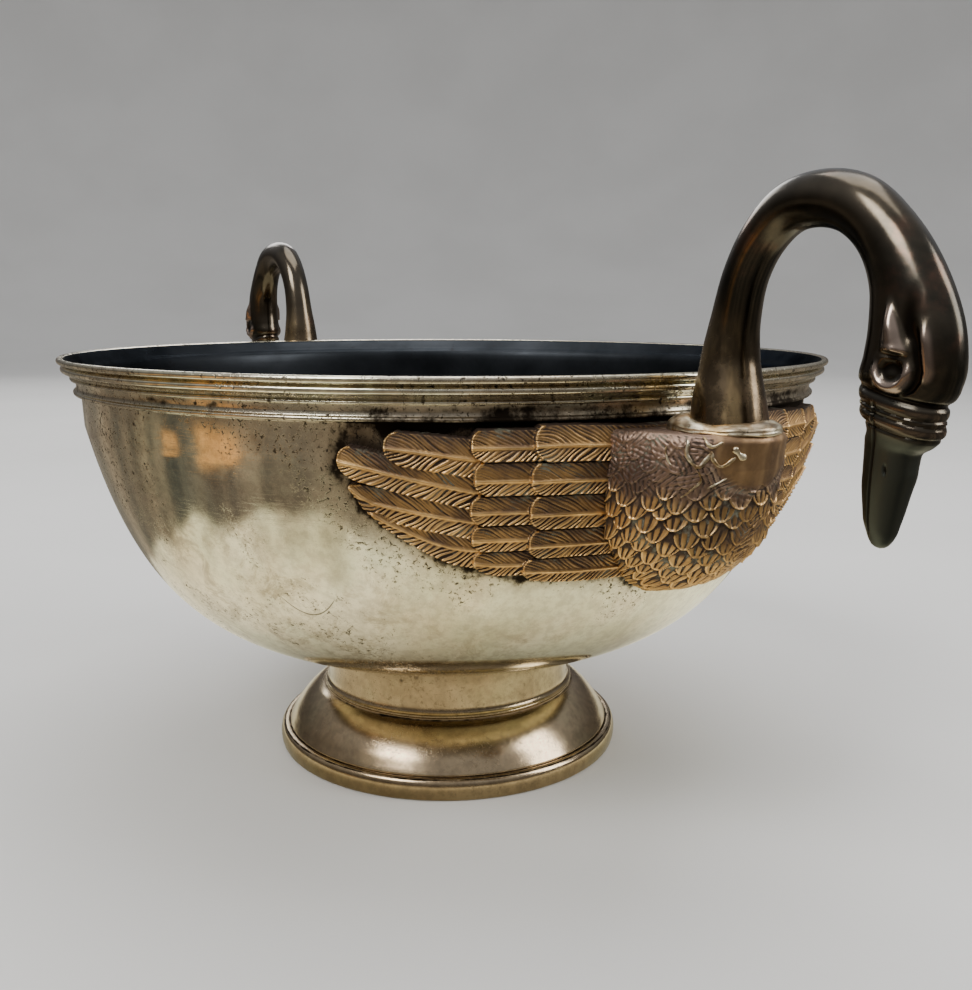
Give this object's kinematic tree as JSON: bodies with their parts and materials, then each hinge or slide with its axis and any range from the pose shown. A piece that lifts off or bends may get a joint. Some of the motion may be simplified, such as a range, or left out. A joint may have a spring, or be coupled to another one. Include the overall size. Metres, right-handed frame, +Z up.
{
  "type": "two-handled footed metal bowl",
  "caption": "Round spun metal bowl on a pedestal foot, with a moulded rim and swan handles whose breasts and wings hug the wall and whose necks arch over the rim.",
  "frame": {"origin": "middle of the foot's flat base", "axes": "+Z up; +X through the swan on the right of the picture; -X through the other swan"},
  "size_m": [0.394, 0.2498, 0.1806],
  "materials": {
    "bowl_plate": "silver-plated, dull polish, tarnished with fine pits and scratches",
    "foot_plate": "silver-plated, bright polish",
    "wing_bronze": "cast bronze, golden where worn, dark brown in the recesses",
    "neck_bronze": "cast bronze, dark patina, polished by handling",
    "solder": "soft solder, dull",
    "fixings": "turned brass"
  },
  "bodies": {
    "root": {"bowl_shell": "bowl_plate", "foot_shell": "foot_plate", "foot_stud": "fixings", "foot_washer": "fixings", "foot_nut": "fixings", "right_swan_body": "wing_bronze", "right_swan_neck": "neck_bronze", "right_neck_collar": "solder", "right_breast_screw": "fixings", "right_front_wing_screw": "fixings", "right_back_wing_screw": "fixings", "left_swan_body": "wing_bronze", "left_swan_neck": "neck_bronze", "left_neck_collar": "solder", "left_breast_screw": "fixings", "left_front_wing_screw": "fixings", "left_back_wing_screw": "fixings"}
  },
  "joints": []
}
